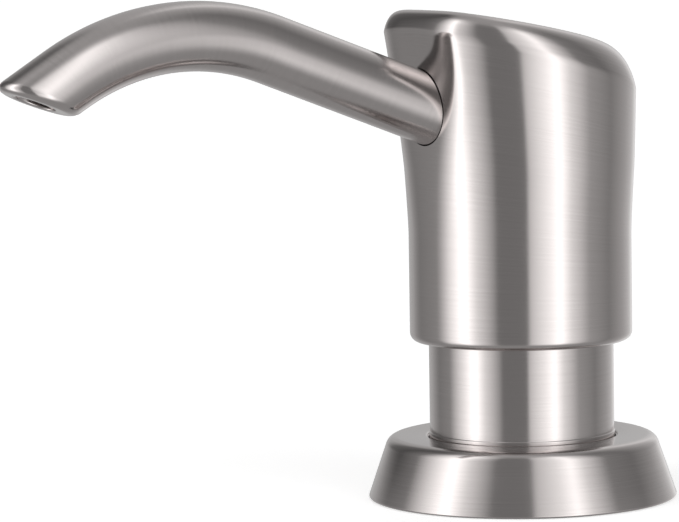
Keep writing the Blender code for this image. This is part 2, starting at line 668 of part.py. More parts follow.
def make_pump_fixed():
    ring("pump_gasket", CYLINDER_RADIUS + GAP, CYLINDER_RIM, SHANK_TOP_Z + GAP, CYLINDER_RIM_Z - GAP, RUBBER)
    make_cylinder()
    make_inlet_cage()
    bottom = CYLINDER_RIM_Z + CYLINDER_RIM_THICKNESS + GAP
    seat = CAP_SEAT_Z
    chamfer = MOULDED_CHAMFER
    cap = [(CYLINDER_BORE, bottom), (CAP_RADIUS, bottom), (CAP_RADIUS, CAP_TOP_Z - chamfer),
           (CAP_RADIUS - chamfer, CAP_TOP_Z), (CAP_WELL, CAP_TOP_Z), (CAP_WELL, seat), (CAP_THROAT, seat),
           (CAP_THROAT, seat - CAP_LAND), (CYLINDER_BORE, seat - 1.5 * CAP_LAND)]
    turned("closure_cap", cap, BLACK_PLASTIC, 24)
    inner = STEM_RADIUS + GAP
    outer = STEM_SEAL_RADIUS
    lip = seat + STEM_SEAL_HEIGHT
    groove_top, groove_bottom, groove_depth = STEM_SEAL_LIP
    turned("stem_seal", [(inner, seat + GAP), (outer, seat + GAP), (outer, lip), (groove_top, lip),
                         (groove_bottom, lip - groove_depth), (inner, lip)], RUBBER)
    edge = BUSHING_EDGE
    turned("stem_bushing", [(inner, lip + GAP), (outer, lip + GAP), (outer, CAP_TOP_Z - edge),
                            (outer - edge, CAP_TOP_Z), (inner, CAP_TOP_Z)], WHITE_PLASTIC, 20)


def make_plunger():
    stem = ring("piston_stem", BORE_RADIUS, STEM_RADIUS, STEM_BOTTOM_Z, STEM_TOP_Z, STEEL, 24)
    socket = STEM_RADIUS + GAP
    chamber = OUTLET_CHAMBER
    seat_top = OUTLET_SEAT_TOP_Z
    inlet = PISTON_INLET
    seat_bottom = seat_top - (chamber - inlet)
    groove = PISTON_GROOVE
    low = PISTON_GROOVE_BOTTOM_Z
    high = PISTON_GROOVE_TOP_Z
    outline = [(inlet, PISTON_BOTTOM_Z), (PISTON_BODY, PISTON_BOTTOM_Z), (PISTON_BODY, low), (groove, low),
               (groove, high), (PISTON_BODY, high), (PISTON_BODY, PISTON_TOP_Z), (socket, PISTON_TOP_Z),
               (socket, STEM_BOTTOM_Z - GAP), (chamber, STEM_BOTTOM_Z - GAP), (chamber, seat_top),
               (inlet, seat_bottom)]
    piston = turned("piston", outline, WHITE_PLASTIC)
    seal = [(groove + GAP, low + GAP), (SEAL_RADIUS, low + GAP), (PISTON_BODY, low + SEAL_LIP_HEIGHT),
            (PISTON_BODY, high - SEAL_LIP_HEIGHT), (SEAL_RADIUS, high - GAP), (groove + GAP, high - GAP)]
    piston_seal = turned("piston_seal", seal, RUBBER)
    for obj in (stem, piston, piston_seal):
        set_origin(obj, (0, 0, STEM_TOP_Z))


def make_balls():
    """Each ball rests just clear of its conical seat, whose sides slope at 45 degrees."""
    outlet_z = OUTLET_SEAT_TOP_Z - OUTLET_CHAMBER + (OUTLET_BALL + GAP) * math.sqrt(2)
    set_origin(ball("outlet_ball", OUTLET_BALL, outlet_z, STEEL), (0, 0, outlet_z))
    inlet_z = INLET_SEAT_TOP_Z - INLET_CHAMBER + (INLET_BALL + GAP) * math.sqrt(2)
    set_origin(ball("inlet_ball", INLET_BALL, inlet_z, STEEL), (0, 0, inlet_z))


def make_spring():
    """The return spring: a plain helix between the inlet cage and the piston."""
    bottom = CYLINDER_FLOOR_Z + CAGE_BASE + 2 * GAP + SPRING_WIRE
    top = PISTON_BOTTOM_Z - GAP - SPRING_WIRE
    per_turn = 11
    sides = 5
    steps = SPRING_TURNS * per_turn
    rings = []
    for i in range(steps + 1):
        angle = 2 * math.pi * i / per_turn
        share = i / steps
        z = bottom + (top - bottom) * share
        outward = Vector((math.cos(angle), math.sin(angle), 0))
        centre = outward * SPRING_RADIUS + Vector((0, 0, z))
        rings.append([centre + SPRING_WIRE * (math.cos(t) * outward + math.sin(t) * Vector((0, 0, 1)))
                      for t in (2 * math.pi * k / sides for k in range(sides))])
    vertices = [v for one in rings for v in one]
    faces = [tuple(range(sides)), tuple(reversed(range(steps * sides, (steps + 1) * sides)))]
    for i in range(steps):
        for k in range(sides):
            after = (k + 1) % sides
            low, high = i * sides, (i + 1) * sides
            faces.append((low + k, high + k, high + after, low + after))
    spring = add_object("return_spring", vertices, faces, STEEL)
    set_origin(spring, (0, 0, bottom))


def make_head():
    make_head_shell()
    make_head_core()
    make_core_screws()
    make_set_screw()
    make_spout()
    make_liner()
    make_nozzle()
    ring("skirt_guide_ring", COLLAR_RADIUS + GAP, SKIRT_BORE - GAP, GUIDE_BOTTOM_Z, GUIDE_TOP_Z,
         WHITE_PLASTIC, 36)
    middle = (STEM_RADIUS + GAP + O_RING_WIRE, CORE_BOSS_Z + O_RING_RISE)
    turned("stem_o_ring", arc(middle, O_RING_WIRE, 0, 300, 5), RUBBER, 18)


clear_scene()
make_head()
make_collar()
make_flange()
make_gaskets()
make_shank()
make_nut()
make_pump_fixed()
make_plunger()
make_balls()
make_spring()
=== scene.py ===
import json
import math

import bmesh
import bpy
from mathutils import Matrix, Vector


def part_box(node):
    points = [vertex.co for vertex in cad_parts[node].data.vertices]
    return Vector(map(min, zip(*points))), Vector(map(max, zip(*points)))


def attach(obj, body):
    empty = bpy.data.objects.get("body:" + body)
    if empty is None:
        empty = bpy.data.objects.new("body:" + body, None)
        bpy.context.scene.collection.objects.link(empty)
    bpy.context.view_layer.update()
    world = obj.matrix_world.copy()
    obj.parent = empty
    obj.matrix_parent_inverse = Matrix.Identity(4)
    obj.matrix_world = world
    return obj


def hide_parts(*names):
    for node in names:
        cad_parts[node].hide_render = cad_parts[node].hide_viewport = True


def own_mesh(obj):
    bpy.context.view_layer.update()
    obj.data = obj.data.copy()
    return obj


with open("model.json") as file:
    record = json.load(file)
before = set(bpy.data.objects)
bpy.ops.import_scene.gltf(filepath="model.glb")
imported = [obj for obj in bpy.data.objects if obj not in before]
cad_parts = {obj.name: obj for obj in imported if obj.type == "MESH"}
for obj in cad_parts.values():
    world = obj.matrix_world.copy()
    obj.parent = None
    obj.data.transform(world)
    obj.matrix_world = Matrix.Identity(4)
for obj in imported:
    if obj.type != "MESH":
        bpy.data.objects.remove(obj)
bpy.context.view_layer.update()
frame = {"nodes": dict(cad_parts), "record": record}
print("frame loaded:", len(frame["nodes"]), "nodes")

gap = 0.0003  # clearance between neighbouring pieces; every size is in metres


# small helpers
def arcPoints(centre, radius, startDeg, endDeg, steps):
    points = []
    for i in range(steps + 1):
        angle = math.radians(startDeg + (endDeg - startDeg) * i / steps)
        points.append((centre[0] + radius * math.cos(angle), centre[1] + radius * math.sin(angle)))
    return points


def roundedOutline(corners, steps=6):
    # corners are (r, z, fillet); each sharp corner becomes an arc
    points = []
    count = len(corners)
    for i, (r, z, fillet) in enumerate(corners):
        here = Vector((r, z))
        if fillet <= 0:
            points.append((r, z))
            continue
        toBefore = (Vector(corners[i - 1][:2]) - here).normalized()
        toAfter = (Vector(corners[(i + 1) % count][:2]) - here).normalized()
        half = toBefore.angle(toAfter) / 2
        middle = here + (toBefore + toAfter).normalized() * (fillet / math.sin(half))
        start = here + toBefore * (fillet / math.tan(half)) - middle
        end = here + toAfter * (fillet / math.tan(half)) - middle
        turn = start.angle_signed(end)
        for k in range(steps + 1):
            spoke = Matrix.Rotation(-turn * k / steps, 2) @ start
            points.append((middle.x + spoke.x, middle.y + spoke.y))
    return points


def turnedRings(outline, sides):
    rings = []
    for r, z in outline:
        rings.append([Vector((r * math.cos(a), r * math.sin(a), z))
                      for a in (2 * math.pi * k / sides for k in range(sides))])
    return rings


def ringsMesh(name, rings, closed=True):
    # rings joined side by side; closed joins the last to the first, else both ends close at a point
    mesh = bpy.data.meshes.new(name)
    build = bmesh.new()
    uvLayer = build.loops.layers.uv.new("grain")
    sides = len(rings[0])
    corners = [[build.verts.new(point) for point in ring] for ring in rings]
    travelled = [0.0]
    for i in range(len(rings)):
        travelled.append(travelled[-1] + (rings[(i + 1) % len(rings)][0] - rings[i][0]).length)
    girth = max(sum((ring[k] - ring[k - 1]).length for k in range(sides)) for ring in rings)
    last = len(rings) if closed else len(rings) - 1
    for i in range(last):
        here, there = corners[i], corners[(i + 1) % len(rings)]
        for k in range(sides):
            nextK = (k + 1) % sides
            face = build.faces.new((here[k], here[nextK], there[nextK], there[k]))
            places = ((k, i), (k + 1, i), (k + 1, i + 1), (k, i + 1))
            for loop, (around, along) in zip(face.loops, places):
                loop[uvLayer].uv = (girth * around / sides, travelled[along])
    if not closed:
        for i in (0, len(rings) - 1):
            pole = build.verts.new(sum(rings[i], Vector()) / sides)
            for k in range(sides):
                face = build.faces.new((corners[i][k], corners[i][(k + 1) % sides], pole))
                for loop, around in zip(face.loops, (k, k + 1, k + 0.5)):
                    loop[uvLayer].uv = (girth * around / sides, travelled[i])
    bmesh.ops.recalc_face_normals(build, faces=build.faces)
    if build.calc_volume(signed=True) < 0:
        bmesh.ops.reverse_faces(build, faces=build.faces)
    build.to_mesh(mesh)
    build.free()
    piece = bpy.data.objects.new(name, mesh)
    bpy.context.scene.collection.objects.link(piece)
    finishShading(piece)
    return piece


def finishShading(piece, sharpAngle=38):
    piece.data.shade_smooth()
    piece.data.set_sharp_from_angle(angle=math.radians(sharpAngle))


def plainMesh(piece):
    # turns what the modifiers make into the piece's own mesh
    graph = bpy.context.evaluated_depsgraph_get()
    made = bpy.data.meshes.new_from_object(piece.evaluated_get(graph))
    piece.modifiers.clear()
    piece.data = made


def mendCut(piece, slack=0.000012, sliver=0.000003):
    # a cut leaves slivers along its edge: they are merged away, so that the skin stays one closed body
    build = bmesh.new()
    build.from_mesh(piece.data)
    bmesh.ops.triangulate(build, faces=build.faces)
    bmesh.ops.remove_doubles(build, verts=build.verts, dist=slack)
    bmesh.ops.dissolve_degenerate(build, edges=build.edges, dist=sliver)
    bmesh.ops.delete(build, geom=[edge for edge in build.edges if not edge.link_faces], context="EDGES")
    bmesh.ops.delete(build, geom=[vert for vert in build.verts if not vert.link_faces], context="VERTS")
    odd = sum(len(edge.link_faces) != 2 for edge in build.edges)
    build.to_mesh(piece.data)
    build.free()
    print("cut mended:", piece.name, "edges without two faces:", odd)


def cutWith(piece, cutters):
    for cutter in cutters:
        modifier = piece.modifiers.new(cutter.name, "BOOLEAN")
        modifier.operation = "DIFFERENCE"
        modifier.solver = "EXACT"
        modifier.object = cutter
    plainMesh(piece)
    for cutter in cutters:
        bpy.data.objects.remove(cutter)
    mendCut(piece)
    finishShading(piece)


def place(piece, body, slotName, material, *stoodFor):
    piece.data.materials.clear()
    piece.data.materials.append(material)
    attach(piece, body)
    if stoodFor:
        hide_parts(*stoodFor)
    print("piece:", piece.name, len(piece.data.polygons), "faces")


# materials
def startMaterial(name):
    material = bpy.data.materials.new(name)
    material.use_nodes = True
    return material, material.node_tree, material.node_tree.nodes["Principled BSDF"]


def addNode(tree, kind, **values):
    node = tree.nodes.new(kind)
    for key, value in values.items():
        if hasattr(node, key):
            setattr(node, key, value)
        else:
            node.inputs[key].default_value = value
    return node


def grainNoise(tree, source, stretch, detail):
    # noise with its own scale along each axis of the source's coordinates, per metre
    coordinates = addNode(tree, "ShaderNodeTexCoord")
    mapping = addNode(tree, "ShaderNodeMapping")
    mapping.inputs["Scale"].default_value = stretch
    tree.links.new(coordinates.outputs[source], mapping.inputs["Vector"])
    noise = addNode(tree, "ShaderNodeTexNoise", Scale=1.0, Detail=detail, Roughness=0.6)
    tree.links.new(mapping.outputs["Vector"], noise.inputs["Vector"])
    return noise.outputs["Fac"]


noiseSpan = (0.3, 0.7)  # the noise values that give the low and the high result


def spread(tree, noise, low, high):
    node = addNode(tree, "ShaderNodeMapRange")
    node.inputs["From Min"].default_value, node.inputs["From Max"].default_value = noiseSpan
    node.inputs["To Min"].default_value = low
    node.inputs["To Max"].default_value = high
    tree.links.new(noise, node.inputs["Value"])
    return node.outputs["Result"]


def blendColours(tree, noise, dark, light):
    node = addNode(tree, "ShaderNodeMix", data_type="RGBA")
    for socket in node.inputs:
        if socket.type == "RGBA":
            socket.default_value = (*(dark if socket.name == "A" else light), 1)
    tree.links.new(spread(tree, noise, 0.0, 1.0), node.inputs["Factor"])
    return next(socket for socket in node.outputs if socket.type == "RGBA")


def addBump(tree, shader, noise, strength, height):
    bump = addNode(tree, "ShaderNodeBump", Strength=strength, Distance=height)
    tree.links.new(noise, bump.inputs["Height"])
    tree.links.new(bump.outputs["Normal"], shader.inputs["Normal"])


nickelFinish = {
    "dark": (0.600, 0.562, 0.552),
    "light": (0.655, 0.614, 0.604),
    "roughness": (0.13, 0.18),
    "grain": (45, 5200, 1),  # along the brushing, which runs round the piece, and across it, per metre
    "grainDetail": 6.0,
    "smudge": (70, 70, 70),
    "smudgeDetail": 3.0,
    "smudgeRoughness": (-0.02, 0.03),  # added to the roughness
    "anisotropy": 0.60,
    "turn": 0.25,  # highlights are drawn out across the brushing
    "bump": 0.05,
    "bumpHeight": 0.00004,
}


def brushedNickel():
    settings = nickelFinish
    material, tree, shader = startMaterial("brushedNickel")
    streaks = grainNoise(tree, "UV", settings["grain"], settings["grainDetail"])
    smudges = grainNoise(tree, "Object", settings["smudge"], settings["smudgeDetail"])
    colour = blendColours(tree, streaks, settings["dark"], settings["light"])
    tree.links.new(colour, shader.inputs["Base Color"])
    total = addNode(tree, "ShaderNodeMath", operation="ADD")
    tree.links.new(spread(tree, streaks, *settings["roughness"]), total.inputs[0])
    tree.links.new(spread(tree, smudges, *settings["smudgeRoughness"]), total.inputs[1])
    tree.links.new(total.outputs["Value"], shader.inputs["Roughness"])
    tangent = addNode(tree, "ShaderNodeTangent", direction_type="UV_MAP", uv_map="grain")
    tree.links.new(tangent.outputs["Tangent"], shader.inputs["Tangent"])
    shader.inputs["Metallic"].default_value = 1.0
    shader.inputs["Anisotropic"].default_value = settings["anisotropy"]
    shader.inputs["Anisotropic Rotation"].default_value = settings["turn"]
    addBump(tree, shader, streaks, settings["bump"], settings["bumpHeight"])
    return material


metalFinish = {"lines": (90, 90, 4200), "detail": 5.0, "smoother": 0.05, "rougher": 0.07,
               "bump": 0.12, "bumpHeight": 0.00004}


def turnedMetal(name, dark, light, roughness):
    # plain metal with fine lines round the upright axis
    settings = metalFinish
    material, tree, shader = startMaterial(name)
    lines = grainNoise(tree, "Object", settings["lines"], settings["detail"])
    tree.links.new(blendColours(tree, lines, dark, light), shader.inputs["Base Color"])
    uneven = spread(tree, lines, roughness - settings["smoother"], roughness + settings["rougher"])
    tree.links.new(uneven, shader.inputs["Roughness"])
    shader.inputs["Metallic"].default_value = 1.0
    addBump(tree, shader, lines, settings["bump"], settings["bumpHeight"])
    return material


plasticFinish = {"textureDetail": 3.0, "tone": (110, 110, 60), "toneDetail": 2.0,
                 "smoother": 0.06, "rougher": 0.08, "bump": 0.18, "bumpHeight": 0.00006}


def mouldedPlastic(name, dark, light, roughness, grain=1800):
    # fine moulded texture with a little unevenness of tone
    settings = plasticFinish
    material, tree, shader = startMaterial(name)
    texture = grainNoise(tree, "Object", (grain, grain, grain), settings["textureDetail"])
    tone = grainNoise(tree, "Object", settings["tone"], settings["toneDetail"])
    tree.links.new(blendColours(tree, tone, dark, light), shader.inputs["Base Color"])
    uneven = spread(tree, texture, roughness - settings["smoother"], roughness + settings["rougher"])
    tree.links.new(uneven, shader.inputs["Roughness"])
    addBump(tree, shader, texture, settings["bump"], settings["bumpHeight"])
    return material


nickel = brushedNickel()
steel = turnedMetal("plainSteel", (0.50, 0.50, 0.51), (0.60, 0.60, 0.61), 0.22)
darkSteel = turnedMetal("blackenedSteel", (0.32, 0.32, 0.34), (0.42, 0.42, 0.44), 0.35)
whitePlastic = mouldedPlastic("whitePlastic", (0.79, 0.79, 0.76), (0.86, 0.86, 0.83), 0.45)
blackPlastic = mouldedPlastic("blackPlastic", (0.040, 0.040, 0.044), (0.062, 0.062, 0.068), 0.48, 2400)
greyPlastic = mouldedPlastic("greyPlastic", (0.38, 0.39, 0.40), (0.46, 0.47, 0.48), 0.45)
rubber = mouldedPlastic("blackRubber", (0.028, 0.028, 0.028), (0.048, 0.047, 0.046), 0.74, 3200)
hosePlastic = mouldedPlastic("milkyHose", (0.72, 0.75, 0.75), (0.79, 0.82, 0.82), 0.30, 900)
slotMaterials = {
    "nickel": nickel, "steel": steel, "dark_steel": darkSteel, "white_plastic": whitePlastic,
    "black_plastic": blackPlastic, "grey_plastic": greyPlastic, "rubber": rubber, "clear_tube": hosePlastic,
}
for part in frame["record"]["subparts"]:
    for materialSlot in frame["nodes"][part["node"]].material_slots:
        materialSlot.material = slotMaterials[part["material_slot"]]
print("materials made:", len(slotMaterials))


# head
headShape = {
    "radius": 0.01925, "flare": 0.0026, "lean": 0.00165,  # the last two are reached at crownZ
    "flareZ": 0.046, "leanZ": 0.057, "crownZ": 0.082,
    "edge": 0.0015, "topZ": 0.0809, "topSlope": 0.2126, "topCrown": 0.0006,  # the top rises to the front
    "creaseZ": 0.0756, "creaseSlope": 0.323, "flarePower": 1.25, "leanPower": 1.3,
    "shoulderInset": 1.05, "shoulderStart": math.radians(20.0), "shoulderPower": 0.8,
    "faceDepth": 0.0198, "faceZ": 0.066, "faceCurl": 8.2, "faceBlend": 0.0014,  # curls out above faceZ
    "skirtBore": 0.0173, "skirtRoofZ": 0.057, "skirtChamfer": (0.0003, 0.0004),  # across and up
    "pocket": 0.012, "pocketTopZ": 0.072, "pocketRing": 0.4,  # share of the pocket's radius
    "sides": 256, "edgeRows": 9, "sideRows": 56, "shoulderRows": 18, "topRows": 12,
}
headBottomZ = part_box("head_shell")[0].z


def headSection(z):
    # radius of the round section at a height, and how far it leans forward
    shape = headShape
    widen = max(0.0, (z - shape["flareZ"]) / (shape["crownZ"] - shape["flareZ"]))
    lean = max(0.0, (z - shape["leanZ"]) / (shape["crownZ"] - shape["leanZ"]))
    radius = shape["radius"] + shape["flare"] * widen ** shape["flarePower"]
    return radius, shape["lean"] * lean ** shape["leanPower"]


def softMin(a, b, width):
    # the smaller of two values, with a smooth change where they lie within width of each other
    share = min(1.0, max(0.0, 0.5 + 0.5 * (b - a) / width))
    return b + (a - b) * share - width * share * (1 - share)


def headSidePoint(angle, z):
    # the round section, flattened at the front
    radius, shift = headSection(z)
    face = headShape["faceDepth"] + headShape["faceCurl"] * max(0.0, z - headShape["faceZ"]) ** 2
    return radius * math.sin(angle), softMin(shift + radius * math.cos(angle), face, headShape["faceBlend"])


def shoulderCurve(share):
    # inward and upward travel over the rounded shoulder; it starts part of the way round, at a soft crease
    start, power = headShape["shoulderStart"], headShape["shoulderPower"]
    angle = start + (math.pi / 2 - start) * share
    startIn, startUp = math.cos(start) ** power, math.sin(start) ** power
    inset = (startIn - max(0.0, math.cos(angle)) ** power) / startIn
    return inset, (math.sin(angle) ** power - startUp) / (1 - startUp)


def headMeridian(angle):
    # from the bottom's inner edge, up the side and over the shoulder to near the top's middle
    shape = headShape
    crease = shape["creaseZ"] + shape["creaseSlope"] * shape["radius"] * math.cos(angle)
    sideBottom = headBottomZ + shape["edge"]
    points = []
    for step in range(shape["edgeRows"] + 1):
        turn = math.radians(90 * step / shape["edgeRows"])
        z = headBottomZ + shape["edge"] * (1 - math.sin(turn))
        inset = shape["edge"] * (1 - math.cos(turn)) / shape["radius"]
        x, forward = headSidePoint(angle, z)
        points.insert(0, (x * (1 - inset), forward * (1 - inset), z))
    for step in range(1, shape["sideRows"] + 1):
        z = sideBottom + (crease - sideBottom) * step / shape["sideRows"]
        points.append((*headSidePoint(angle, z), z))
    rimX, rimForward, rimZ = points[-1]
    shift = headSection(rimZ)[1]
    shoulder = shape["topZ"] + shape["topSlope"] * rimForward - rimZ
    reach = math.hypot(rimX, rimForward - shift)
    for step in range(1, shape["shoulderRows"] + 1):
        inset, rise = shoulderCurve(step / shape["shoulderRows"])
        keep = 1 - shape["shoulderInset"] * shoulder * inset / reach
        x, forward = rimX * keep, shift + (rimForward - shift) * keep
        top = shape["topZ"] + shape["topSlope"] * forward
        points.append((x, forward, rimZ + (top - rimZ) * rise))
    edgeX, edgeForward = points[-1][:2]
    for step in range(1, shape["topRows"]):
        keep = 1 - step / shape["topRows"]
        x, forward = edgeX * keep, shift + (edgeForward - shift) * keep
        crown = shape["topCrown"] * (1 - keep ** 2)
        points.append((x, forward, shape["topZ"] + shape["topSlope"] * forward + crown))
    return [Vector((x, -forward, z)) for x, forward, z in points]


def makeHead():
    shape = headShape
    sides = shape["sides"]
    meridians = [headMeridian(2 * math.pi * k / sides) for k in range(sides)]
    outer = [[meridian[row] for meridian in meridians] for row in range(len(meridians[0]))]
    bore, roof = shape["skirtBore"], shape["skirtRoofZ"]
    pocket, pocketTop = shape["pocket"], shape["pocketTopZ"]
    across, up = shape["skirtChamfer"]
    inner = [(pocket * shape["pocketRing"], pocketTop), (pocket, pocketTop), (pocket, roof), (bore, roof),
             (bore, headBottomZ + up), (bore + across, headBottomZ)]
    inside = []
    for r, z in inner:
        inside.append([Vector((r * math.sin(a), -r * math.cos(a), z))
                       for a in (2 * math.pi * k / sides for k in range(sides))])
    head = ringsMesh("headBody", inside + outer, closed=False)
    holeLine = [spoutLine(0.0), spoutLine(spoutShape["holeEnd"])]
    holeRings = tubeRings(holeLine, [spoutShape["holeRadius"]] * 2, spoutShape["holeSides"])
    hole = ringsMesh("spoutHole", holeRings, closed=False)
    cutWith(head, [hole])
    return head


# spout
spoutShape = {
    "root": (0.0213, 0.06886), "rise": math.radians(20.0), "fall": math.radians(30.5),  # root: forward, z
    "tail": 0.0075, "bendStart": 0.050, "bendRadius": 0.0457,
    "rootRadius": 0.00595, "tipRadius": 0.00575, "wall": 0.0012,
    "taper": 1.5,  # the tip's radius is reached after 1 / taper of the points
    "tip": (0.0939, 0.0721), "tipSlope": math.radians(21.0),
    "endRound": 0.0022, "endSegments": 8,
    "mouth": 0.0029, "mouthDepth": 0.0013, "mouthRound": 0.0005, "mouthSegments": 5,
    "holeRadius": 0.0061, "holeEnd": 0.032, "holeSides": 96,
    "sides": 112, "straightSteps": 24, "bendSteps": 64,
}


def spoutLine(forward):
    # point on the straight rising stretch of the centreline
    root, rise = spoutShape["root"], spoutShape["rise"]
    return Vector((0, -forward, root[1] + (forward - root[0]) * math.tan(rise)))


def spoutPath():
    # the straight stretch from inside the head, then the bend; tipRing adds the short straight end
    shape = spoutShape
    straight, steps = shape["bendStart"] - shape["tail"], shape["straightSteps"]
    points = [spoutLine(shape["tail"] + straight * i / steps) for i in range(steps + 1)]
    bend = points[-1]
    middleForward = shape["bendStart"] + shape["bendRadius"] * math.sin(shape["rise"])
    middleZ = bend.z - shape["bendRadius"] * math.cos(shape["rise"])
    for i in range(1, shape["bendSteps"] + 1):
        angle = -shape["rise"] + (shape["rise"] + shape["fall"]) * i / shape["bendSteps"]
        points.append(Vector((0, -(middleForward + shape["bendRadius"] * math.sin(angle)),
                              middleZ + shape["bendRadius"] * math.cos(angle))))
    return points


def tubeRings(path, radii, sides, cutPlane=None):
    # each ring square to the path; with a plane, the last one is laid on it
    side = Vector((1, 0, 0))
    rings = []
    for i, point in enumerate(path):
        along = (path[min(i + 1, len(path) - 1)] - path[max(i - 1, 0)]).normalized()
        up = along.cross(side)
        ring = []
        for k in range(sides):
            angle = 2 * math.pi * k / sides
            spot = point + radii[i] * (math.cos(angle) * side + math.sin(angle) * up)
            if cutPlane and i == len(path) - 1:
                spot += along * ((cutPlane[0] - spot).dot(cutPlane[1]) / along.dot(cutPlane[1]))
            ring.append(spot)
        rings.append(ring)
    return rings


def tipPlane(setBack):
    # a point on the sloping cut, or set back from it, and the cut's outward direction
    slope = spoutShape["tipSlope"]
    normal = Vector((0, -math.sin(slope), -math.cos(slope)))
    forward, z = spoutShape["tip"]
    return Vector((0, -forward, z)) - normal * setBack, normal


def spoutEnd(setBack=0.0):
    # a point on the centreline at the end of the bend, or set back from it, and the direction there
    along = Vector((0, -math.cos(spoutShape["fall"]), -math.sin(spoutShape["fall"])))
    return spoutPath()[-1] - along * setBack, along


def tipRing(radius, setBack):
    # a ring of the straight end's section, laid on the sloping cut
    base, along = spoutEnd()
    return tubeRings([base, base + along], [radius] * 2, spoutShape["sides"], tipPlane(setBack))[-1]


def spoutRadii(path, less=0.0):
    root, change = spoutShape["rootRadius"], spoutShape["tipRadius"] - spoutShape["rootRadius"]
    count = len(path) - 1
    return [root + change * min(1.0, spoutShape["taper"] * i / count) - less for i in range(count + 1)]


def roundRing(piece, ring, width, segments, touching=0.000001):
    # rounds the sharp edge that runs through a ring's points; width is that of the band it becomes
    build = bmesh.new()
    build.from_mesh(piece.data)
    near = [vert for vert in build.verts if min((vert.co - point).length for point in ring) < touching]
    chosen = set(near)
    edges = [edge for edge in build.edges if edge.verts[0] in chosen and edge.verts[1] in chosen]
    bmesh.ops.bevel(build, geom=edges + near, offset=width, offset_type="WIDTH", segments=segments,
                    profile=0.5, affect="EDGES", clamp_overlap=False)
    build.to_mesh(piece.data)
    build.free()
    finishShading(piece)


def makeSpout():
    shape = spoutShape
    path = spoutPath()
    outer = tubeRings(path, spoutRadii(path), shape["sides"])
    inner = tubeRings(path, spoutRadii(path, shape["wall"]), shape["sides"])
    rim, mouth = tipRing(shape["tipRadius"], 0.0), tipRing(shape["mouth"], 0.0)
    behind = [tipRing(shape["mouth"], shape["mouthDepth"]),
              tipRing(shape["tipRadius"] - shape["wall"], shape["mouthDepth"])]
    spout = ringsMesh("spoutTube", outer + [rim, mouth] + behind + inner[::-1])
    roundRing(spout, rim, shape["endRound"], shape["endSegments"])
    roundRing(spout, mouth, shape["mouthRound"], shape["mouthSegments"])
    return spout


nozzleShape = {
    "clear": 0.0001, "recess": 0.0015, "startBack": 0.0012, "edge": 0.0003,
    "outlet": 0.0019, "outletEdge": 0.0004, "edgeSteps": 4,
}


def makeNozzle():
    # a ring inside the tip, set back from the cut, with rounded edges at its rim and its outlet
    shape = nozzleShape
    outside = spoutShape["tipRadius"] - spoutShape["wall"] - shape["clear"]
    base, along = spoutEnd(shape["startBack"])

    def backRing(radius):
        return tubeRings([base, base + along], [radius] * 2, spoutShape["sides"])[0]

    turns = [math.radians(90 * step / shape["edgeSteps"]) for step in range(shape["edgeSteps"] + 1)]
    rings = [backRing(outside)]
    for turn in turns:
        inset, setBack = (shape["edge"] * (1 - part) for part in (math.cos(turn), math.sin(turn)))
        rings.append(tipRing(outside - inset, shape["recess"] + setBack))
    for turn in turns:
        inset, setBack = (shape["outletEdge"] * (1 - part) for part in (math.sin(turn), math.cos(turn)))
        rings.append(tipRing(shape["outlet"] + inset, shape["recess"] + setBack))
    rings.append(backRing(shape["outlet"]))
    return ringsMesh("spoutNozzle", rings)


place(makeHead(), "head", "nickel", nickel, "head_shell")
place(makeSpout(), "head", "nickel", nickel, "spout_tube")
place(makeNozzle(), "head", "nickel", nickel, "spout_nozzle")


# collar and flange
collarShape = {"bore": 0.014, "edge": 0.0006, "boreEdge": 0.0003, "footEdge": 0.0002,
               "beadFlare": 0.00012, "beadRise": 0.0006, "beadTuck": 0.0004, "beadEdge": 0.0001}
flangeShape = {
    "rim": 0.0243, "rimEdge": 0.0004, "edge": 0.0003, "shoulder": 0.0238, "shoulderZ": 0.0086,
    "hub": 0.0175, "hollow": 0.0215, "ledgeZ": 0.0037, "topWall": 0.0016, "hollowDrop": 1.5,  # in walls
    "grooveWidth": 0.0002, "grooveDepth": 0.0004,
    "rimArc": (-90, 10, 5), "shoulderArc": (15, 90, 18), "grooveArc": (90, 180, 6),  # start, end, steps
}
deckSides = 256


def makeCollar():
    # a small bead runs round the foot, at the height of the flange's groove and just above it
    low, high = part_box("collar")
    shape = collarShape
    bore, outside, bead = shape["bore"], high.x, high.x + shape["beadFlare"]
    footEdge, beadEdge = shape["footEdge"], shape["beadEdge"]
    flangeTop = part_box("base_flange")[1].z
    beadLow = flangeTop - flangeShape["grooveDepth"] - shape["beadTuck"]
    beadHigh = flangeTop + shape["beadRise"]
    corners = [(bore, low.z, footEdge), (outside, low.z, footEdge), (outside, beadLow, 0), (bead, beadLow, 0),
               (bead, beadHigh, beadEdge), (outside, beadHigh + shape["beadFlare"], beadEdge),
               (outside, high.z, shape["edge"]), (bore, high.z, shape["boreEdge"])]
    return ringsMesh("collarTube", turnedRings(roundedOutline(corners), deckSides))


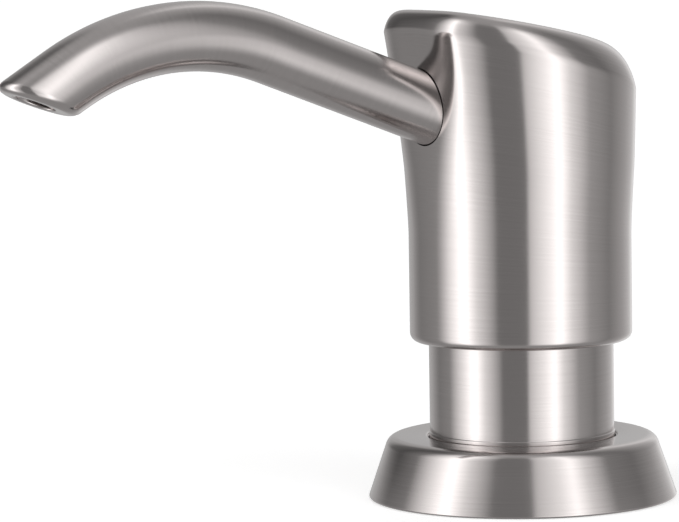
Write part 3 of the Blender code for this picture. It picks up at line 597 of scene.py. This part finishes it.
def makeFlange():
    # a hollow disc with a rounded rim and shoulder, a groove round the collar and a ledge inside it
    low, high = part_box("base_flange")
    shape = flangeShape
    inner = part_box("collar")[1].x + gap
    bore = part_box("threaded_shank")[1].x + gap
    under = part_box("base_gasket")[1].z + gap
    shoulder = high.z - shape["shoulderZ"]
    rimEdge, edge, wall, ledgeZ = shape["rimEdge"], shape["edge"], shape["topWall"], shape["ledgeZ"]
    grooveSide, grooveFloor = inner + shape["grooveWidth"], high.z - shape["grooveDepth"]
    outline = [(shape["rim"], low.z), (high.x - rimEdge, low.z)]
    outline += arcPoints((high.x - rimEdge, low.z + rimEdge), rimEdge, *shape["rimArc"])[1:]
    outline += arcPoints((shape["shoulder"] - shoulder, shape["shoulderZ"]), shoulder, *shape["shoulderArc"])
    outline += arcPoints((grooveSide + edge, high.z - edge), edge, *shape["grooveArc"])
    outline += [(grooveSide, grooveFloor), (inner, grooveFloor), (inner, ledgeZ), (bore, ledgeZ),
                (bore, under), (shape["hub"], under), (shape["hub"], high.z - wall),
                (shape["hollow"], high.z - shape["hollowDrop"] * wall), (shape["rim"], under)]
    return ringsMesh("flangeDisc", turnedRings(outline, deckSides))


place(makeCollar(), "base", "nickel", nickel, "collar")
place(makeFlange(), "base", "nickel", nickel, "base_flange")


# return spring, shank and thread; the coils are made by geometry nodes
coilDetail = {"pointsPerTurn": 56, "sectionSides": 12, "sharpAngle": 50}


def coilTree(name, material):
    # a wire of oval section wound on an upright cylinder
    tree = bpy.data.node_groups.new(name, "GeometryNodeTree")
    tree.interface.new_socket("Geometry", in_out="OUTPUT", socket_type="NodeSocketGeometry")
    sockets = {}
    for label in ("Turns", "Radius", "Height", "Bottom", "Half Width", "Half Depth"):
        socket = tree.interface.new_socket(label, in_out="INPUT", socket_type="NodeSocketFloat")
        sockets[label] = socket.identifier
    inputs = tree.nodes.new("NodeGroupInput")
    outputs = tree.nodes.new("NodeGroupOutput")
    spiral = tree.nodes.new("GeometryNodeCurveSpiral")
    spiral.inputs["Resolution"].default_value = coilDetail["pointsPerTurn"]
    spiral.inputs["Reverse"].default_value = True  # right-handed, as the nut's travel needs
    upright = tree.nodes.new("GeometryNodeSetCurveNormal")
    upright.mode = "Z_UP"
    section = tree.nodes.new("GeometryNodeCurvePrimitiveCircle")
    section.inputs["Resolution"].default_value = coilDetail["sectionSides"]
    section.inputs["Radius"].default_value = 1.0
    scale = tree.nodes.new("ShaderNodeCombineXYZ")
    shaped = tree.nodes.new("GeometryNodeTransform")
    sweep = tree.nodes.new("GeometryNodeCurveToMesh")
    sweep.inputs["Fill Caps"].default_value = True
    lift = tree.nodes.new("ShaderNodeCombineXYZ")
    move = tree.nodes.new("GeometryNodeTransform")
    realize = tree.nodes.new("GeometryNodeRealizeInstances")
    paint = tree.nodes.new("GeometryNodeSetMaterial")
    paint.inputs["Material"].default_value = material
    link = tree.links.new
    link(inputs.outputs["Turns"], spiral.inputs["Rotations"])
    link(inputs.outputs["Radius"], spiral.inputs["Start Radius"])
    link(inputs.outputs["Radius"], spiral.inputs["End Radius"])
    link(inputs.outputs["Height"], spiral.inputs["Height"])
    link(spiral.outputs["Curve"], upright.inputs["Curve"])
    link(inputs.outputs["Half Depth"], scale.inputs["X"])
    link(inputs.outputs["Half Width"], scale.inputs["Y"])
    link(inputs.outputs["Half Width"], scale.inputs["Z"])
    link(section.outputs["Curve"], shaped.inputs["Geometry"])
    link(scale.outputs["Vector"], shaped.inputs["Scale"])
    link(upright.outputs["Curve"], sweep.inputs["Curve"])
    link(shaped.outputs["Geometry"], sweep.inputs["Profile Curve"])
    link(inputs.outputs["Bottom"], lift.inputs["Z"])
    link(sweep.outputs["Mesh"], move.inputs["Geometry"])
    link(lift.outputs["Vector"], move.inputs["Translation"])
    link(move.outputs["Geometry"], realize.inputs["Geometry"])
    link(realize.outputs["Geometry"], paint.inputs["Geometry"])
    link(paint.outputs["Geometry"], outputs.inputs["Geometry"])
    return tree, sockets


def makeCoil(name, material, sizes):
    tree, sockets = coilTree(name + "Nodes", material)
    piece = bpy.data.objects.new(name, bpy.data.meshes.new(name))
    bpy.context.scene.collection.objects.link(piece)
    modifier = piece.modifiers.new("coil", "NODES")
    modifier.node_group = tree
    for label, size in sizes.items():
        modifier[sockets[label]] = size
    plainMesh(piece)
    finishShading(piece, coilDetail["sharpAngle"])
    return piece


springShape = {"wireRadius": 0.0005, "turns": 6.0}


def makeSpring():
    low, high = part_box("return_spring")
    wire = springShape["wireRadius"]
    return makeCoil("returnSpring", steel, {
        "Turns": springShape["turns"], "Radius": high.x - wire, "Height": high.z - low.z - 2 * wire,
        "Bottom": low.z + wire, "Half Width": wire, "Half Depth": wire})


shankShape = {"bore": 0.0112, "edge": 0.0003, "footEdge": 0.0004, "sides": 144,
              "pitch": 0.002, "threadDepth": 0.0008, "threadHalfWidth": 0.00055, "plainEnd": 0.0015}


def makeShank():
    # the tube at the root of its thread
    low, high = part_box("threaded_shank")
    bore, root, edge = shankShape["bore"], high.x - shankShape["threadDepth"], shankShape["edge"]
    corners = [(bore, low.z, edge), (root, low.z, shankShape["footEdge"]),
               (root, high.z, edge), (bore, high.z, edge)]
    return ringsMesh("shankTube", turnedRings(roundedOutline(corners), shankShape["sides"]))


def makeThread():
    low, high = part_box("threaded_shank")
    depth, plainEnd = shankShape["threadDepth"], shankShape["plainEnd"]
    height = high.z - low.z - 2 * plainEnd
    return makeCoil("shankThread", greyPlastic, {
        "Turns": height / shankShape["pitch"], "Radius": high.x - depth, "Height": height,
        "Bottom": low.z + plainEnd, "Half Width": shankShape["threadHalfWidth"], "Half Depth": depth})


spring = makeSpring()
place(spring, "base", "steel", steel, "return_spring")
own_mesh(spring)
place(makeShank(), "base", "grey_plastic", greyPlastic, "threaded_shank")
place(makeThread(), "base", "grey_plastic", greyPlastic)


# clamp rings
clampShape = {"edge": 0.00025, "sides": 180}


def makeClampRing(name, node):
    low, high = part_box(node)
    bore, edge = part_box("threaded_shank")[1].x + gap, clampShape["edge"]
    corners = [(bore, low.z, edge), (high.x, low.z, edge), (high.x, high.z, edge), (bore, high.z, edge)]
    return ringsMesh(name, turnedRings(roundedOutline(corners), clampShape["sides"]))


place(makeClampRing("washerRing", "clamp_washer"), "clamp", "steel", steel, "clamp_washer")
place(makeClampRing("gasketRing", "clamp_gasket"), "clamp", "rubber", rubber, "clamp_gasket")


# mounting nut
nutShape = {"radius": 0.0185, "lug": 0.0025, "lugs": 6, "lugPower": 0.5,
            "rimHeight": 0.0025, "rimEdge": 0.0015, "edge": 0.0006, "edgeMiddle": 0.3,
            "cornerCut": 0.0004, "sides": 240}


def makeNut():
    # a lugged body under a round rim
    low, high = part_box("mounting_nut")
    shape = nutShape
    rim, bore = high.x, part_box("threaded_shank")[1].x + gap
    edge, middle, cut = shape["edge"], shape["edge"] * shape["edgeMiddle"], shape["cornerCut"]
    levels = [(low.z, edge), (low.z + middle, middle), (low.z + edge, 0.0)]
    levels.append((high.z - shape["rimHeight"], 0.0))
    rings = []
    for z, inset in levels:
        ring = []
        for k in range(shape["sides"]):
            angle = 2 * math.pi * k / shape["sides"]
            lug = max(0.0, math.cos(shape["lugs"] * angle)) ** shape["lugPower"] * shape["lug"]
            radius = shape["radius"] + lug - inset
            ring.append(Vector((radius * math.cos(angle), radius * math.sin(angle), z)))
        rings.append(ring)
    upper = [(rim, high.z - shape["rimEdge"]), (rim, high.z - cut), (rim - cut, high.z), (bore + cut, high.z),
             (bore, high.z - cut), (bore, low.z + cut), (bore + cut, low.z)]
    return ringsMesh("mountingNut", rings + turnedRings(upper, shape["sides"]))


place(makeNut(), "nut", "black_plastic", blackPlastic, "mounting_nut")


# floor, studio light and camera
floorLook = {
    "halfWidth": 6.0, "level": -0.0001, "dark": (0.88, 0.88, 0.88), "light": (0.90, 0.90, 0.90),
    "roughness": 0.8, "specular": 0.1,
    "glow": 0.55,  # lifts the floor to the white of the backdrop, and lights nothing
}


def makeFloor():
    mesh = bpy.data.meshes.new("floor")
    half, level = floorLook["halfWidth"], floorLook["level"]
    mesh.from_pydata([(-half, -half, level), (half, -half, level), (half, half, level), (-half, half, level)],
                     [], [(0, 1, 2, 3)])
    floor = bpy.data.objects.new("floor", mesh)
    bpy.context.scene.collection.objects.link(floor)
    material, tree, shader = startMaterial("paleFloor")
    tone = grainNoise(tree, "Object", (3, 3, 3), 2.0)
    colour = blendColours(tree, tone, floorLook["dark"], floorLook["light"])
    tree.links.new(colour, shader.inputs["Base Color"])
    shader.inputs["Roughness"].default_value = floorLook["roughness"]
    shader.inputs["Specular IOR Level"].default_value = floorLook["specular"]
    shader.inputs["Emission Color"].default_value = (1, 1, 1, 1)
    path = addNode(tree, "ShaderNodeLightPath")
    glow = addNode(tree, "ShaderNodeMath", operation="MULTIPLY")
    glow.inputs[1].default_value = floorLook["glow"]
    tree.links.new(path.outputs["Is Camera Ray"], glow.inputs[0])
    tree.links.new(glow.outputs["Value"], shader.inputs["Emission Strength"])
    mesh.materials.append(material)
    floor.visible_glossy = False  # the metal mirrors the studio, which runs below the floor too


cameraPlace = {"azimuth": 55.0, "distance": 0.700, "height": 0.109486,
               "pan": 2.559, "tilt": 5.564, "roll": -0.893, "lens": 215.3, "sensor": 36.0}
# soft boxes round the object: degrees to the right of the camera, brightness low down and high up
studioBands = [(-180, 0.50, 0.50), (-162, 0.50, 0.45), (-146, 0.46, 0.16), (-124, 0.26, 0.10),
               (-100, 0.34, 0.24), (-76, 1.30, 1.22), (-60, 2.10, 2.00), (-46, 1.10, 1.05),
               (-27, 0.42, 0.38), (-23, 0.22, 0.22), (7, 0.23, 0.22), (10, 0.80, 0.72),
               (30, 1.45, 1.20), (42, 1.95, 1.75), (54, 1.10, 1.00), (76, 0.44, 0.26),
               (104, 0.28, 0.20), (130, 0.46, 0.36), (150, 0.66, 0.55), (163, 0.90, 0.85),
               (180, 0.50, 0.50)]
# height of the view, from -1 straight down to 1 straight up
studioFade = {"lowToHigh": (-0.10, 0.16),
              "above": (0.80, 1.00, 0.42), "below": (-0.35, -0.80, 0.34)}  # start, end and grey of each fade


def fadeTo(tree, colour, height, start, full, second):
    # second is a grey level or another colour's socket
    amount = addNode(tree, "ShaderNodeMapRange", interpolation_type="SMOOTHSTEP")
    amount.inputs["From Min"].default_value = start
    amount.inputs["From Max"].default_value = full
    mix = addNode(tree, "ShaderNodeMix", data_type="RGBA")
    colours = [socket for socket in mix.inputs if socket.type == "RGBA"]
    if isinstance(second, float):
        colours[1].default_value = (second, second, second, 1)
    else:
        tree.links.new(second, colours[1])
    tree.links.new(height, amount.inputs["Value"])
    tree.links.new(amount.outputs["Result"], mix.inputs["Factor"])
    tree.links.new(colour, colours[0])
    return next(socket for socket in mix.outputs if socket.type == "RGBA")


def bandRamp(tree, share, which, brightest):
    # the bands as a ramp once round the object; which is 1 for low down and 2 for high up
    ramp = addNode(tree, "ShaderNodeValToRGB")
    stops = ramp.color_ramp.elements
    for index, band in enumerate(studioBands):
        if 0 < index < len(studioBands) - 1:
            stop = stops.new((band[0] + 180) / 360)
        else:
            stop = stops[0 if index == 0 else -1]
        stop.color = (*[band[which] / brightest] * 3, 1)
    tree.links.new(share, ramp.inputs["Fac"])
    return ramp.outputs["Color"]


def makeStudioLight():
    world = bpy.data.worlds.new("studio")
    bpy.context.scene.world = world
    world.use_nodes = True
    tree = world.node_tree
    background = tree.nodes["Background"]
    where = addNode(tree, "ShaderNodeTexCoord")
    turned = addNode(tree, "ShaderNodeVectorRotate", rotation_type="Z_AXIS")
    turned.inputs["Angle"].default_value = -math.radians(cameraPlace["azimuth"])
    split = addNode(tree, "ShaderNodeSeparateXYZ")
    angle = addNode(tree, "ShaderNodeMath", operation="ARCTAN2")
    flip = addNode(tree, "ShaderNodeMath", operation="MULTIPLY")
    flip.inputs[1].default_value = -1.0
    share = addNode(tree, "ShaderNodeMapRange")
    share.inputs["From Min"].default_value = -math.pi
    share.inputs["From Max"].default_value = math.pi
    brightest = max(band[1] for band in studioBands)
    path = addNode(tree, "ShaderNodeLightPath")
    seen = addNode(tree, "ShaderNodeMix", data_type="RGBA")
    seenColours = [socket for socket in seen.inputs if socket.type == "RGBA"]
    seenColours[1].default_value = (1 / brightest,) * 3 + (1,)
    background.inputs["Strength"].default_value = brightest
    link = tree.links.new
    link(where.outputs["Generated"], turned.inputs["Vector"])
    link(turned.outputs["Vector"], split.inputs["Vector"])
    link(split.outputs["X"], angle.inputs[0])
    link(split.outputs["Y"], flip.inputs[0])
    link(flip.outputs["Value"], angle.inputs[1])
    link(angle.outputs["Value"], share.inputs["Value"])
    lowBands, highBands = (bandRamp(tree, share.outputs["Result"], which, brightest) for which in (1, 2))
    lit = fadeTo(tree, lowBands, split.outputs["Z"], *studioFade["lowToHigh"], highBands)
    for start, full, level in (studioFade["above"], studioFade["below"]):
        lit = fadeTo(tree, lit, split.outputs["Z"], start, full, level / brightest)
    link(lit, seenColours[0])
    link(path.outputs["Is Camera Ray"], seen.inputs["Factor"])
    link(next(s for s in seen.outputs if s.type == "RGBA"), background.inputs["Color"])


def turnPair(first, second, angle):
    # two directions at right angles, turned in the plane they share
    return (first * math.cos(angle) + second * math.sin(angle),
            second * math.cos(angle) - first * math.sin(angle))


def makeCamera():
    view = cameraPlace
    azimuth, pan, tilt, roll = (math.radians(view[key]) for key in ("azimuth", "pan", "tilt", "roll"))
    ahead = Vector((-math.sin(azimuth), math.cos(azimuth), 0))
    right = Vector((math.cos(azimuth), math.sin(azimuth), 0))
    up = Vector((0, 0, 1))
    right, ahead = turnPair(right, ahead, pan)
    up, ahead = turnPair(up, ahead, tilt)
    right, up = turnPair(right, up, roll)
    data = bpy.data.cameras.new("camera")
    data.sensor_width = view["sensor"]
    data.sensor_fit = "HORIZONTAL"
    data.lens = view["lens"]
    camera = bpy.data.objects.new("camera", data)
    bpy.context.scene.collection.objects.link(camera)
    turn = Matrix((right, up, -ahead)).transposed().to_4x4()
    spot = Vector((math.sin(azimuth), -math.cos(azimuth), 0)) * view["distance"]
    camera.matrix_world = Matrix.Translation(spot + Vector((0, 0, view["height"]))) @ turn
    bpy.context.scene.camera = camera


makeFloor()
makeStudioLight()
makeCamera()
bpy.context.scene.view_settings.view_transform = "Standard"
print("floor, light and camera made")
